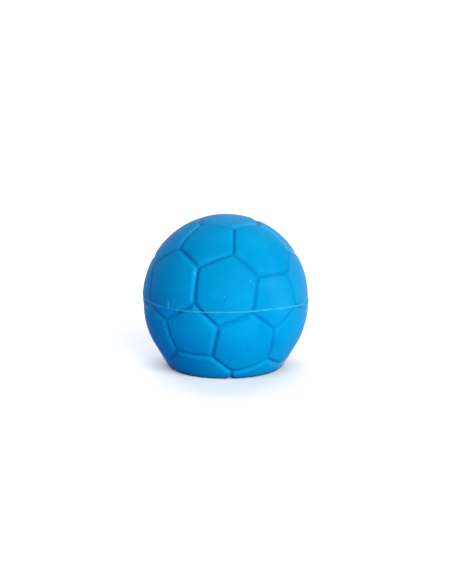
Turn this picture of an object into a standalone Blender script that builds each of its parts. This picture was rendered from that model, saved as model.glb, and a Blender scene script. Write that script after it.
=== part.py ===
"""Case opening friction ball: two moulded rubber half shells bonded round the middle.

The ball is hollow, has a flat grip face underneath and carries a net of moulded
grooves, twelve five-sided and twenty six-sided panels. Metres, +Z up, origin at
the centre of the flat grip face.
"""

import math

import bmesh
import bpy
import numpy as np
from mathutils import Matrix, Vector

# Driving dimensions
BALL_RADIUS = 0.030           # upper half, outside
SEAM_HEIGHT = 0.0256          # bonded joint above the flat grip face
LOWER_SWELL = 1.006           # the lower half is moulded this much fatter at the joint
GRIP_FACE_RADIUS = 0.0210     # where the side of the lower half would meet the flat
GRIP_EDGE_ROUND = 0.0014      # rounding between side and flat
WALL = 0.0075                 # rubber wall thickness

# Lower side curve, as shares of the ball's radius
SIDE_UPRIGHT = 0.434          # how far the side stays upright below the joint
SIDE_LEAN = 0.542             # inward lean of the side where it reaches the flat
SIDE_LEAN_REACH = 0.302       # how far up that lean is felt

# Groove net
GROOVE_HALF_WIDTH = 0.0009
GROOVE_DEPTH = 0.00075
CORNER_SHARE = 34.5           # per cent of a net edge that goes to each five-sided panel
NET_SPIN = -113.5             # degrees, five-sided panel beside the crown panel
NET_TILT = 5.0                # degrees, lean of the crown panel
NET_TILT_TOWARD = -63.5       # degrees, azimuth the crown panel leans to
# Net corners that the mould places off the regular net: where each one would be
# (azimuth, elevation) and how far it sits to the east and north of that, in degrees.
STRAY_CORNERS = (
    (-93, -8, -1.2, -2.2),
    (-112, 7, 1.5, -2.0),
    (-133, -6, -0.5, -2.8),
    (-152, 4, 1.5, -5.0),
    (-52, -15, -2.7, 1.6),
    (-33, 0, -0.8, 0.6),
    (-74, -1, 0.6, -0.8),
    (-41, 23, 0.8, 0.0),
    (-102, -31, 0.6, -1.0),
    (-130, -29, 0.0, -1.0),
    (-81, -47, -1.5, 1.9),
    (-53, -37, -0.3, -0.8),
    (-85, 38, 0.3, 1.2),
    (-79, 62, 0.0, 0.8),
    (-112, 28, 0.0, 0.5),
    (-156, 28, -2.5, -1.5),
    (-23, 39, 3.0, -1.5),
    (-31, 62, 1.5, 1.5),
)

# Bonded joint
JOINT_GAP = 0.0003            # clear space between the bond ring and each half
BOND_THICKNESS = 0.0004
BOND_STAND_PROUD = 0.00012    # the ring's bead above the lower half's surface
BOND_BEAD_HALF = 0.00012      # half the width of the bead's crest

# Fineness
PANEL_CUTS = 3                # cuts along each net edge
CAVITY_SEGMENTS = 40
BOND_STEPS = 96
CURVE_SAMPLES = 48
SMOOTH_ANGLE = math.radians(28)

COLLECTION_NAME = "case_opening_friction_ball"
CUTTER_COLLECTION_NAME = "cutters"


def clear_scene():
    """Remove every object of the scene."""
    for thing in list(bpy.data.objects):
        bpy.data.objects.remove(thing, do_unlink=True)


def new_collection(name):
    """Make a collection in the scene."""
    group = bpy.data.collections.new(name)
    bpy.context.scene.collection.children.link(group)
    return group


def rubber(name, colour, roughness):
    """Principled material of one part."""
    material = bpy.data.materials.new(name)
    material.use_nodes = True
    shader = material.node_tree.nodes["Principled BSDF"]
    shader.inputs["Base Color"].default_value = (*colour, 1.0)
    shader.inputs["Roughness"].default_value = roughness
    shader.inputs["Metallic"].default_value = 0.0
    return material


def bezier(p0, p1, p2, p3, count):
    """Points of a cubic curve, both ends included."""
    t = np.linspace(0.0, 1.0, count)[:, None]
    points = [np.array(p) for p in (p0, p1, p2, p3)]
    weights = ((1 - t) ** 3, 3 * t * (1 - t) ** 2, 3 * t ** 2 * (1 - t), t ** 3)
    return sum(weight * point for weight, point in zip(weights, points))


def side_curve():
    """Lower half's side, top to bottom, as (radius, height over the joint)."""
    upright = BALL_RADIUS * SIDE_UPRIGHT
    reach = BALL_RADIUS * SIDE_LEAN_REACH
    top = (BALL_RADIUS * LOWER_SWELL, 0.0)
    foot = (GRIP_FACE_RADIUS, -SEAM_HEIGHT)
    under_top = (top[0], -upright)
    over_foot = (foot[0] + SIDE_LEAN * reach, foot[1] + reach)
    return bezier(top, under_top, over_foot, foot, CURVE_SAMPLES)


def rounded_foot():
    """Arc between the side and the flat, as (radius, height over the joint)."""
    lean = math.atan(SIDE_LEAN)
    turn = math.pi / 2 - lean
    tangent = GRIP_EDGE_ROUND * math.tan(turn / 2)
    centre_radius = GRIP_FACE_RADIUS - tangent
    centre_height = -SEAM_HEIGHT + GRIP_EDGE_ROUND
    angles = np.linspace(-lean, -math.pi / 2, 5)
    arc_radius = centre_radius + GRIP_EDGE_ROUND * np.cos(angles)
    arc_height = centre_height + GRIP_EDGE_ROUND * np.sin(angles)
    return np.column_stack((arc_radius, arc_height))


def lower_outline():
    """Elevation seen from the ball's centre, and distance from it, joint to flat."""
    side = side_curve()
    foot = rounded_foot()
    side = side[side[:, 1] > foot[0, 1]]
    outline = np.vstack((side, foot))
    elevation = np.arctan2(outline[:, 1], outline[:, 0])
    distance = np.hypot(outline[:, 0], outline[:, 1])
    return elevation, distance


FOOT_ELEVATIONS = np.arctan2(rounded_foot()[:, 1], rounded_foot()[:, 0])
FLAT_ELEVATION = FOOT_ELEVATIONS[-1]


def lower_distance(elevation):
    """Distance of the lower half's skin from the ball's centre."""
    outline_elevation, outline_distance = lower_outline()
    order = np.argsort(outline_elevation)
    curved = np.interp(elevation, outline_elevation[order], outline_distance[order])
    flat = SEAM_HEIGHT / np.maximum(-np.sin(elevation), 0.1)
    return np.where(elevation < FLAT_ELEVATION, flat, curved)


def upper_distance(elevation):
    """Distance of the upper half's skin from the ball's centre."""
    return np.full_like(elevation, BALL_RADIUS)


def polar(azimuth, elevation):
    """Unit vector from angles in degrees."""
    across = math.cos(math.radians(elevation))
    east = across * math.cos(math.radians(azimuth))
    north = across * math.sin(math.radians(azimuth))
    return Vector((east, north, math.sin(math.radians(elevation))))


def net_turn(bm):
    """Rotation that brings the net from its starting place to its place on the ball."""
    crown = max(bm.faces, key=lambda face: face.calc_center_median().z)
    to_top = crown.calc_center_median().rotation_difference(Vector((0, 0, 1))).to_matrix()
    corner = to_top @ crown.verts[0].co
    spin = Matrix.Rotation(math.radians(NET_SPIN) - math.atan2(corner.y, corner.x), 3, 'Z')
    toward = polar(NET_TILT_TOWARD, 0)
    tilt_axis = Vector((0, 0, 1)).cross(toward)
    tilt = Matrix.Rotation(math.radians(NET_TILT), 3, tilt_axis)
    return tilt @ spin @ to_top


def shift_stray_corners(bm):
    """Move the corners that the mould has off the regular net."""
    for azimuth, elevation, east, north in STRAY_CORNERS:
        target = polar(azimuth, elevation)
        corner = min(bm.verts, key=lambda vert: (vert.co - target).length)
        outward = corner.co.normalized()
        to_east = Vector((0, 0, 1)).cross(outward).normalized()
        to_north = outward.cross(to_east)
        corner.co = outward + math.radians(east) * to_east + math.radians(north) * to_north
        corner.co.normalize()


def groove_net():
    """Twelve five-sided and twenty six-sided faces round a unit ball."""
    bm = bmesh.new()
    bmesh.ops.create_icosphere(bm, subdivisions=1, radius=1.0)
    turn = net_turn(bm)
    bmesh.ops.bevel(bm, geom=list(bm.verts), offset=CORNER_SHARE, offset_type='PERCENT',
                    affect='VERTICES', segments=1, profile=0.5)
    bmesh.ops.transform(bm, matrix=turn.to_4x4(), verts=bm.verts)
    for vert in bm.verts:
        vert.co.normalize()
    shift_stray_corners(bm)
    return bm


def distance_to_net(directions, starts, ends):
    """Angle, in radians, from each direction to the nearest great-circle net edge."""
    normals = np.cross(starts, ends)
    normals /= np.linalg.norm(normals, axis=1)[:, None]
    off_plane = np.arcsin(np.clip(np.abs(directions @ normals.T), 0.0, 1.0))
    past_start = np.einsum('ij,kj->ki', np.cross(normals, starts), directions) > 0
    past_end = np.einsum('ij,kj->ki', np.cross(ends, normals), directions) > 0
    to_start = np.arccos(np.clip(directions @ starts.T, -1.0, 1.0))
    to_end = np.arccos(np.clip(directions @ ends.T, -1.0, 1.0))
    to_edge = np.where(past_start & past_end, off_plane, np.minimum(to_start, to_end))
    return to_edge.min(axis=1)


def place_skin(bm, distance_of, starts, ends):
    """Move the unit ball's points to the skin, sunk along the grooves."""
    points = np.array([vert.co for vert in bm.verts])
    directions = points / np.linalg.norm(points, axis=1)[:, None]
    elevation = np.arcsin(np.clip(directions[:, 2], -1.0, 1.0))
    away = BALL_RADIUS * distance_to_net(directions, starts, ends)
    sunk = GROOVE_DEPTH * np.clip(1.0 - away / GROOVE_HALF_WIDTH, 0.0, 1.0)
    run_out = np.interp(elevation, (FLAT_ELEVATION, FOOT_ELEVATIONS[0]), (0.0, 1.0))
    distance = distance_of(elevation) - sunk * run_out
    for vert, direction, reach in zip(bm.verts, directions, distance):
        vert.co = Vector(direction) * float(reach)


def ball_skin(name, distance_of):
    """Closed ball with grooves, panels and, below, the flat grip face."""
    bm = groove_net()
    starts = np.array([edge.verts[0].co for edge in bm.edges])
    ends = np.array([edge.verts[1].co for edge in bm.edges])
    rims = bmesh.ops.inset_individual(bm, faces=list(bm.faces), use_even_offset=True,
                                      thickness=GROOVE_HALF_WIDTH / BALL_RADIUS)
    walls = set(rims['faces'])
    panels = [face for face in bm.faces if face not in walls]
    bmesh.ops.poke(bm, faces=panels)
    across_groove = 3 * GROOVE_HALF_WIDTH / BALL_RADIUS
    long_edges = [edge for edge in bm.edges if edge.calc_length() > across_groove]
    bmesh.ops.subdivide_edges(bm, edges=long_edges, cuts=PANEL_CUTS, use_grid_fill=True)
    for vert in bm.verts:
        vert.co.normalize()
    for elevation in FOOT_ELEVATIONS[::2]:
        everything = list(bm.verts) + list(bm.edges) + list(bm.faces)
        level = Vector((0.0, 0.0, math.sin(elevation)))
        bmesh.ops.bisect_plane(bm, geom=everything, plane_co=level, plane_no=(0, 0, 1),
                               dist=1e-5)
    place_skin(bm, distance_of, starts, ends)
    bmesh.ops.recalc_face_normals(bm, faces=bm.faces)
    flat_height = -SEAM_HEIGHT + 1e-6
    flat = [face for face in bm.faces if all(vert.co.z < flat_height for vert in face.verts)]
    if distance_of is lower_distance:
        bmesh.ops.dissolve_faces(bm, faces=flat, use_verts=True)
    bmesh.ops.translate(bm, verts=bm.verts, vec=(0, 0, SEAM_HEIGHT))
    mesh = bpy.data.meshes.new(name)
    bm.to_mesh(mesh)
    bm.free()
    mesh.shade_smooth()
    mesh.set_sharp_from_angle(angle=SMOOTH_ANGLE)
    return bpy.data.objects.new(name, mesh)


def turned_solid(name, profile, steps):
    """Solid turned round the Z axis from an outer-side profile, top to bottom."""
    bm = bmesh.new()
    verts = [bm.verts.new((radius, 0.0, height)) for radius, height in profile]
    for first, second in zip(verts[:-1], verts[1:]):
        bm.edges.new((first, second))
    mesh = bpy.data.meshes.new(name)
    bm.to_mesh(mesh)
    bm.free()
    solid = bpy.data.objects.new(name, mesh)
    screw = solid.modifiers.new("turn", 'SCREW')
    screw.steps = steps
    screw.render_steps = steps
    screw.use_merge_vertices = True
    screw.merge_threshold = 1e-6
    screw.use_smooth_shade = True
    return solid


def as_cutter(cutter, group):
    """Put a cutter in its collection, shown as wire and left out of renders."""
    group.objects.link(cutter)
    cutter.hide_render = True
    cutter.display_type = 'WIRE'
    return cutter


def cavity_cutter(group):
    """Hollow inside the ball: the outer shape less the wall, flat at the bottom."""
    inner = BALL_RADIUS - WALL
    floor_height = WALL
    drop = SEAM_HEIGHT - floor_height
    lowest = math.asin(drop / inner)
    angles = np.linspace(math.pi / 2, -lowest, CAVITY_SEGMENTS // 2)
    profile = [(inner * math.cos(a), SEAM_HEIGHT + inner * math.sin(a)) for a in angles]
    profile[0] = (0.0, SEAM_HEIGHT + inner)
    profile.append((0.0, floor_height))
    return as_cutter(turned_solid("cavity_cutter", profile, CAVITY_SEGMENTS), group)


def block_cutter(name, low, high, group):
    """Block that takes away everything between two heights."""
    bm = bmesh.new()
    bmesh.ops.create_cube(bm, size=1.0)
    side = 4 * BALL_RADIUS
    bmesh.ops.scale(bm, vec=(side, side, high - low), verts=bm.verts)
    bmesh.ops.translate(bm, vec=(0, 0, (low + high) / 2), verts=bm.verts)
    mesh = bpy.data.meshes.new(name)
    bm.to_mesh(mesh)
    bm.free()
    return as_cutter(bpy.data.objects.new(name, mesh), group)


def cut(thing, cutter):
    """Take a cutter's shape away from an object."""
    boolean = thing.modifiers.new("cut_" + cutter.name, 'BOOLEAN')
    boolean.operation = 'DIFFERENCE'
    boolean.solver = 'EXACT'
    boolean.object = cutter


def upper_half(parts, cutters, cavity):
    """Upper half shell, a grooved dome open at the joint."""
    shell = ball_skin("upper_half", upper_distance)
    shell.data.materials.append(rubber("upper_rubber", (0.0, 0.36, 0.78), 0.55))
    parts.objects.link(shell)
    joint = SEAM_HEIGHT + BOND_THICKNESS / 2 + JOINT_GAP
    cut(shell, block_cutter("below_joint_cutter", -BALL_RADIUS, joint, cutters))
    cut(shell, cavity)


def lower_half(parts, cutters, cavity):
    """Lower half shell, slightly fatter, with the flat grip face underneath."""
    shell = ball_skin("lower_half", lower_distance)
    shell.data.materials.append(rubber("lower_rubber", (0.0, 0.33, 0.74), 0.58))
    parts.objects.link(shell)
    joint = SEAM_HEIGHT - BOND_THICKNESS / 2 - JOINT_GAP
    cut(shell, block_cutter("above_joint_cutter", joint, 4 * BALL_RADIUS, cutters))
    cut(shell, cavity)


def seam_bond(parts):
    """Flat ring of cured rubber cement between the halves, with a bead outside."""
    inner = BALL_RADIUS - WALL
    skin = BALL_RADIUS * LOWER_SWELL
    crest = skin + BOND_STAND_PROUD
    half = BOND_THICKNESS / 2
    top = SEAM_HEIGHT + half
    bottom = SEAM_HEIGHT - half
    profile = [
        (inner, top),
        (skin, top),
        (crest, SEAM_HEIGHT + BOND_BEAD_HALF),
        (crest, SEAM_HEIGHT - BOND_BEAD_HALF),
        (skin, bottom),
        (inner, bottom),
        (inner, top),
    ]
    ring = turned_solid("seam_bond", profile, BOND_STEPS)
    ring.data.materials.append(rubber("bond_cement", (0.02, 0.50, 0.88), 0.50))
    parts.objects.link(ring)


def main():
    """Build the ball's three pieces."""
    clear_scene()
    parts = new_collection(COLLECTION_NAME)
    cutters = new_collection(CUTTER_COLLECTION_NAME)
    cavity = cavity_cutter(cutters)
    upper_half(parts, cutters, cavity)
    lower_half(parts, cutters, cavity)
    seam_bond(parts)


main()
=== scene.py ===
"""Case opening friction ball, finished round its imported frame.

A hollow rubber hand tool for unscrewing watch case backs. Two moulded half
shells with sunk panel grooves are cemented round the middle, where a fine bead
of cement stands proud, and the lower one ends in a flat grip face. Metres, +Z
up, with the origin at the centre of the grip face.
"""

import logging
import math
from dataclasses import dataclass, field
from enum import Enum
from typing import Iterable

import bmesh
import bpy
import numpy as np
from mathutils import Matrix, Vector


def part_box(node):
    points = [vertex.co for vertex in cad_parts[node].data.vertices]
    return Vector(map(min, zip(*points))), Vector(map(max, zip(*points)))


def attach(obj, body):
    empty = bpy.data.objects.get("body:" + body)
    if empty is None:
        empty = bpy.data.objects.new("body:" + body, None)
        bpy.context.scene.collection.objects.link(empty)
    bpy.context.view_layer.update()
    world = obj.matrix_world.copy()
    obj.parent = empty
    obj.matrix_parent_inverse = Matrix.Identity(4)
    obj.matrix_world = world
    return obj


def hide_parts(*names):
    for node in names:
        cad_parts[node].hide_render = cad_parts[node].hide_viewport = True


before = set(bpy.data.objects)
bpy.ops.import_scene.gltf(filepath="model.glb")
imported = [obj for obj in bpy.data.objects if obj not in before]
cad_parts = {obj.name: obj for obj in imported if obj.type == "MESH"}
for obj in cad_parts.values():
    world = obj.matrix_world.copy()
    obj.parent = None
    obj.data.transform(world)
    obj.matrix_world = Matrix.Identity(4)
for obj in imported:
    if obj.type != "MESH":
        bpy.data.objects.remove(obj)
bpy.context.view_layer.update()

LOG = logging.getLogger("friction_ball")
BODY = "root"

GROOVE_ATTRIBUTE = "groove"
SHOULDER_ATTRIBUTE = "shoulder"
# the foot share carries the painted contact shadow by the floor
FOOT_ATTRIBUTE = "foot"

UNIT_WELD = 1e-6                      # on a unit ball: points this close are one
RIM_BAND = 3e-6                       # on a unit ball: how near its level the rim's points lie
LINING_WELD = 2e-8                    # in metres: between the skin's edge and the lining's
UPWARDS = (0.0, 0.0, 1.0)


class Half(Enum):
    """The two moulded halves of the ball."""

    UPPER = "upper_half"
    LOWER = "lower_half"

    @property
    def side(self) -> float:
        """+1 for the half above the joint, -1 for the one below it."""
        return 1.0 if self is Half.UPPER else -1.0


def unit(vectors: np.ndarray) -> np.ndarray:
    """Scale each row to length one: v / |v|."""
    return vectors / np.linalg.norm(vectors, axis=-1, keepdims=True)


def polar(azimuth: float, elevation: float) -> np.ndarray:
    """Unit vector from an azimuth and an elevation in degrees."""
    a, e = math.radians(azimuth), math.radians(elevation)
    return np.array((math.cos(e) * math.cos(a), math.cos(e) * math.sin(a), math.sin(e)))


def grid_faces(rows: int, columns: int, start: int = 0) -> np.ndarray:
    """Quads of a grid that closes on itself along its columns.

    Args:
        rows: number of rows of points.
        columns: points in each row.
        start: number of the grid's first point.

    Returns:
        One row of four point numbers for each quad.
    """
    here = np.arange(columns)
    following = (here + 1) % columns
    row = np.arange(rows - 1)[:, None] * columns
    quads = np.stack((row + here, row + following, row + columns + following,
                      row + columns + here), axis=-1)
    return quads.reshape(-1, 4) + start


def fan_faces(first: int, columns: int, tip: int) -> np.ndarray:
    """Triangles from a closed ring of points to one tip point.

    Args:
        first: number of the ring's first point.
        columns: points in the ring.
        tip: number of the tip point.

    Returns:
        One row of three point numbers for each triangle.
    """
    here = np.arange(columns)
    following = (here + 1) % columns
    tips = np.full(columns, tip)
    return np.stack((first + here, first + following, tips), axis=-1)


def new_mesh(name: str, points: np.ndarray, faces: Iterable[np.ndarray]) -> bpy.types.Mesh:
    """Mesh from an array of points and arrays of faces.

    Args:
        name: the mesh's name.
        points: one row of coordinates for each point.
        faces: arrays with one row of point numbers for each face.

    Returns:
        The new mesh.
    """
    mesh = bpy.data.meshes.new(name)
    listed = [face for block in faces for face in block.tolist()]
    mesh.from_pydata(points.tolist(), [], listed)
    return mesh


def new_object(name: str, data: bpy.types.ID) -> bpy.types.Object:
    """Object placed in the scene.

    Args:
        name: the object's name.
        data: its mesh, light or camera.

    Returns:
        The new object.
    """
    made = bpy.data.objects.new(name, data)
    bpy.context.scene.collection.objects.link(made)
    return made


def read_points(mesh: bpy.types.Mesh) -> np.ndarray:
    """All of a mesh's points.

    Args:
        mesh: the mesh to read.

    Returns:
        One row of coordinates for each point.
    """
    flat = np.empty(len(mesh.vertices) * 3)
    mesh.vertices.foreach_get("co", flat)
    return flat.reshape(-1, 3)


def write_points(mesh: bpy.types.Mesh, points: np.ndarray) -> None:
    """Move a mesh's points to new places."""
    mesh.vertices.foreach_set("co", points.astype(np.float32).ravel())
    mesh.update()


def write_attribute(mesh: bpy.types.Mesh, name: str, values: np.ndarray) -> None:
    """Store one number for each point of a mesh, for its material to read."""
    attribute = mesh.attributes.new(name, 'FLOAT', 'POINT')
    attribute.data.foreach_set("value", values.astype(np.float32))


def degrees_off(angle: np.ndarray, places: np.ndarray) -> np.ndarray:
    """Degrees from each place to each angle in radians, at most half a turn."""
    return (np.degrees(angle)[:, None] - places + 180) % 360 - 180


def bells(off: np.ndarray, widths: np.ndarray, heights: np.ndarray) -> np.ndarray:
    """Sum over a row of height * exp(-(off / width)^2)."""
    return (heights * np.exp(-(off / widths) ** 2)).sum(axis=1)


@dataclass(frozen=True)
class BallSizes:
    """Driving sizes of the ball in metres, the first two read from the frame."""

    radius: float
    seam: float
    lower_swell: float = 1.006        # lower half's radius at the joint, as a share
    foot_radius: float = 0.0210       # where the side would meet the flat
    foot_round: float = 0.0016
    side_upright: float = 0.434       # share of the radius the side stays upright
    side_lean: float = 0.542          # metres in for each metre down, by the flat
    side_lean_reach: float = 0.302    # share of the radius that it keeps this lean over
    wall: float = 0.0075
    rim_clearance: float = 0.00009    # from the joint plane to each half's rim

    @classmethod
    def from_frame(cls) -> "BallSizes":
        """Read the joint's height and the round upper half's radius.

        Returns:
            The sizes that fit the frame.
        """
        bond_low, bond_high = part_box("seam_bond")
        seam = (bond_low.z + bond_high.z) / 2
        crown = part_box(Half.UPPER.value)[1].z
        return cls(radius=crown - seam, seam=seam)

    @property
    def centre(self) -> np.ndarray:
        """Centre of the round upper half."""
        return np.array((0.0, 0.0, self.seam))


@dataclass
class Outline:
    """The ball's turned outline, as a distance from its centre at each elevation."""

    sizes: BallSizes
    samples: int = 160                # along the side's curve
    foot_steps: int = 9               # along the foot's rounding
    least_sine: float = 0.1           # keeps the flat's distance finite by the joint
    elevations: np.ndarray = field(init=False)
    distances: np.ndarray = field(init=False)
    foot_elevations: np.ndarray = field(init=False)

    def __post_init__(self) -> None:
        """Work the lower half's outline out once, from joint to flat."""
        foot = self.foot()
        side = self.side()
        side = side[side[:, 1] > foot[0, 1]]
        outline = np.vstack((side, foot))[::-1]
        self.elevations = np.arctan2(outline[:, 1], outline[:, 0])
        self.distances = np.hypot(outline[:, 0], outline[:, 1])
        self.foot_elevations = np.arctan2(foot[:, 1], foot[:, 0])

    def side(self) -> np.ndarray:
        """Side below the joint: a cubic curve, upright on top and leaning in below.

        Returns:
            Rows of distance off the axis and height over the joint, going down.
        """
        s = self.sizes
        reach = s.side_lean_reach * s.radius
        top = s.radius * s.lower_swell
        anchors = np.array(((top, 0.0), (top, -s.side_upright * s.radius),
                            (s.foot_radius + s.side_lean * reach, reach - s.seam),
                            (s.foot_radius, -s.seam)))
        t = np.linspace(0.0, 1.0, self.samples)[:, None]
        weights = np.hstack(((1 - t) ** 3, 3 * t * (1 - t) ** 2, 3 * t ** 2 * (1 - t), t ** 3))
        return weights @ anchors

    def foot(self) -> np.ndarray:
        """Rounding between side and flat: an arc that touches both.

        Returns:
            Rows of distance off the axis and height over the joint, going down.
        """
        s = self.sizes
        lean = math.atan(s.side_lean)
        reach = s.foot_round * math.tan((math.pi / 2 - lean) / 2)
        angle = np.linspace(-lean, -math.pi / 2, self.foot_steps)
        return np.column_stack((s.foot_radius - reach + s.foot_round * np.cos(angle),
                                s.foot_round * (1 + np.sin(angle)) - s.seam))

    def distance(self, elevation: np.ndarray, half: Half) -> np.ndarray:
        """Distance of the skin from the ball's centre.

        Args:
            elevation: angles over the joint plane, in radians.
            half: which half's skin is asked for.

        Returns:
            The radius on the upper half; on the lower one the outline's own
            distance, and the flat's (its depth over the sine) under the foot.
        """
        if half is Half.UPPER:
            return np.full_like(elevation, self.sizes.radius)
        curved = np.interp(elevation, self.elevations, self.distances)
        flat = self.sizes.seam / np.maximum(-np.sin(elevation), self.least_sine)
        return np.where(elevation < self.foot_elevations[-1], flat, curved)


@dataclass
class GrooveNet:
    """Great-circle net of the grooves: twelve five-sided and twenty six-sided panels."""

    corner_share: float = 0.345       # where corners lie between two five-sided panels
    spin: float = -113.5              # azimuth of a five-sided panel by the crown panel
    tilt: float = 5.0                 # lean of the crown panel, in degrees
    tilt_toward: float = -63.5        # azimuth that it leans to
    same_length: float = 0.1          # on a unit ball: lengths this close are equal
    # Corners that the mould places off the regular net: where each would be
    # (azimuth, elevation), and its shift to the east and north, in degrees.
    stray_corners: tuple = (
        (-93, -8, -1.2, -2.2),
        (-112, 7, 1.5, -2.0),
        (-133, -6, -0.5, -2.8),
        (-152, 4, 1.5, -5.0),
        (-52, -15, -2.7, 1.6),
        (-33, 0, -0.8, 0.6),
        (-74, -1, 0.6, -0.8),
        (-41, 23, 0.8, 0.0),
        (-102, -31, 0.6, -1.0),
        (-130, -29, 0.0, -1.0),
        (-81, -47, -1.5, 1.9),
        (-53, -37, -0.3, -0.8),
        (-85, 38, 0.3, 1.2),
        (-79, 62, 0.0, 0.8),
        (-112, 28, 0.0, 0.5),
        (-156, 28, -2.5, -1.5),
        (-23, 39, 3.0, -1.5),
        (-31, 62, 1.5, 1.5),
    )
    corners: np.ndarray = field(init=False)
    panels: list = field(init=False)
    starts: np.ndarray = field(init=False)
    ends: np.ndarray = field(init=False)

    def __post_init__(self) -> None:
        """Turn the net into place and move its stray corners."""
        poles = self.turned_poles()
        apart = np.linalg.norm(poles[:, None] - poles[None], axis=-1)
        nearest = apart[apart > self.same_length].min()
        joined = np.abs(apart - nearest) < self.same_length
        pairs = [tuple(pair) for pair in np.argwhere(joined)]
        number = {pair: i for i, pair in enumerate(pairs)}
        share = self.corner_share
        corners = unit(np.array([poles[i] * (1 - share) + poles[j] * share for i, j in pairs]))
        for azimuth, elevation, east, north in self.stray_corners:
            corners = self.shifted(corners, polar(azimuth, elevation), east, north)
        self.corners = corners
        self.panels = self.five_sided(poles, joined, number) + self.six_sided(joined, number)
        sides = {tuple(sorted((panel[k - 1], panel[k])))
                 for panel in self.panels for k in range(len(panel))}
        listed = np.array(sorted(sides))
        self.starts = corners[listed[:, 0]]
        self.ends = corners[listed[:, 1]]

    def turned_poles(self) -> np.ndarray:
        """Centres of the five-sided panels: an icosahedron's corners, turned into place.

        Returns:
            Twelve unit vectors, one row each.
        """
        golden = (1 + math.sqrt(5)) / 2
        flat = [(0.0, a, b * golden) for a in (-1, 1) for b in (-1, 1)]
        poles = unit(np.array([np.roll(p, k) for k in range(3) for p in flat]))
        crown = unit(np.array((1.0, 1.0, 1.0)))
        upright = Vector(crown).rotation_difference(Vector(UPWARDS)).to_matrix()
        poles = poles @ np.array(upright).T
        top = poles[np.argsort(-poles[:, 2])[0]]
        azimuth = math.radians(self.spin) - math.atan2(top[1], top[0])
        spun = poles @ np.array(Matrix.Rotation(azimuth, 3, 'Z')).T
        axis = np.cross(UPWARDS, polar(self.tilt_toward, 0.0))
        leaning = Matrix.Rotation(math.radians(self.tilt), 3, Vector(axis))
        return spun @ np.array(leaning).T

    @staticmethod
    def shifted(corners: np.ndarray, near: np.ndarray, east: float, north: float) -> np.ndarray:
        """Corners with one of them moved along the ball.

        Args:
            corners: unit vectors, one row each.
            near: direction whose nearest corner is moved.
            east: how far it moves to the east, in degrees.
            north: how far it moves to the north, in degrees.

        Returns:
            The corners after the move.
        """
        chosen = np.argmax(corners @ near)
        out = corners[chosen]
        to_east = unit(np.cross(UPWARDS, out))
        to_north = np.cross(out, to_east)
        moved = out + math.radians(east) * to_east + math.radians(north) * to_north
        result = corners.copy()
        result[chosen] = unit(moved)
        return result

    @staticmethod
    def five_sided(poles: np.ndarray, joined: np.ndarray, number: dict) -> list:
        """Corners round each five-sided panel, anticlockwise from outside.

        Args:
            poles: centres of the five-sided panels.
            joined: table of the pairs of neighbouring poles.
            number: number of the corner by each pole towards each neighbour.

        Returns:
            A list of corner numbers for each panel.
        """
        panels = []
        for i, pole in enumerate(poles):
            near = np.flatnonzero(joined[i])
            across = unit(poles[near[0]] - pole * (poles[near[0]] @ pole))
            up = np.cross(pole, across)
            turn = np.arctan2(poles[near] @ up, poles[near] @ across)
            panels.append([number[(i, j)] for j in near[np.argsort(turn)]])
        return panels

    def six_sided(self, joined: np.ndarray, number: dict) -> list:
        """Corners round each six-sided panel, anticlockwise from outside.

        Args:
            joined: table of the pairs of neighbouring poles.
            number: number of the corner by each pole towards each neighbour.

        Returns:
            A list of corner numbers for each panel.
        """
        panels = []
        count = len(joined)
        for i in range(count):
            for j in range(i + 1, count):
                for k in range(j + 1, count):
                    if not (joined[i, j] and joined[j, k] and joined[i, k]):
                        continue
                    loop = [number[pair] for pair in
                            ((i, j), (j, i), (j, k), (k, j), (k, i), (i, k))]
                    a, b, c = self.corners[loop[0]], self.corners[loop[2]], self.corners[loop[4]]
                    outward = np.dot(np.cross(b - a, c - a), a + b + c) > 0
                    panels.append(loop if outward else loop[::-1])
        return panels

    def distance(self, directions: np.ndarray, block: int = 20000) -> np.ndarray:
        """Angle from each direction to the nearest side of the net.

        Beside a side it is the angle off the side's great circle, and past its
        ends the angle to the nearer end.

        Args:
            directions: unit vectors, one row each.
            block: rows worked out together.

        Returns:
            Angles in radians.
        """
        normals = unit(np.cross(self.starts, self.ends))
        after_start = np.cross(normals, self.starts).T
        before_end = np.cross(self.ends, normals).T
        found = []
        for first in range(0, len(directions), block):
            rows = directions[first:first + block]
            beside = (rows @ after_start > 0) & (rows @ before_end > 0)
            off = np.arcsin(np.clip(np.abs(rows @ normals.T), 0, 1))
            nearer = np.maximum(rows @ self.starts.T, rows @ self.ends.T)
            to_end = np.arccos(np.clip(nearer, -1, 1))
            found.append(np.where(beside, off, to_end).min(axis=1))
        return np.concatenate(found)


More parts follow.
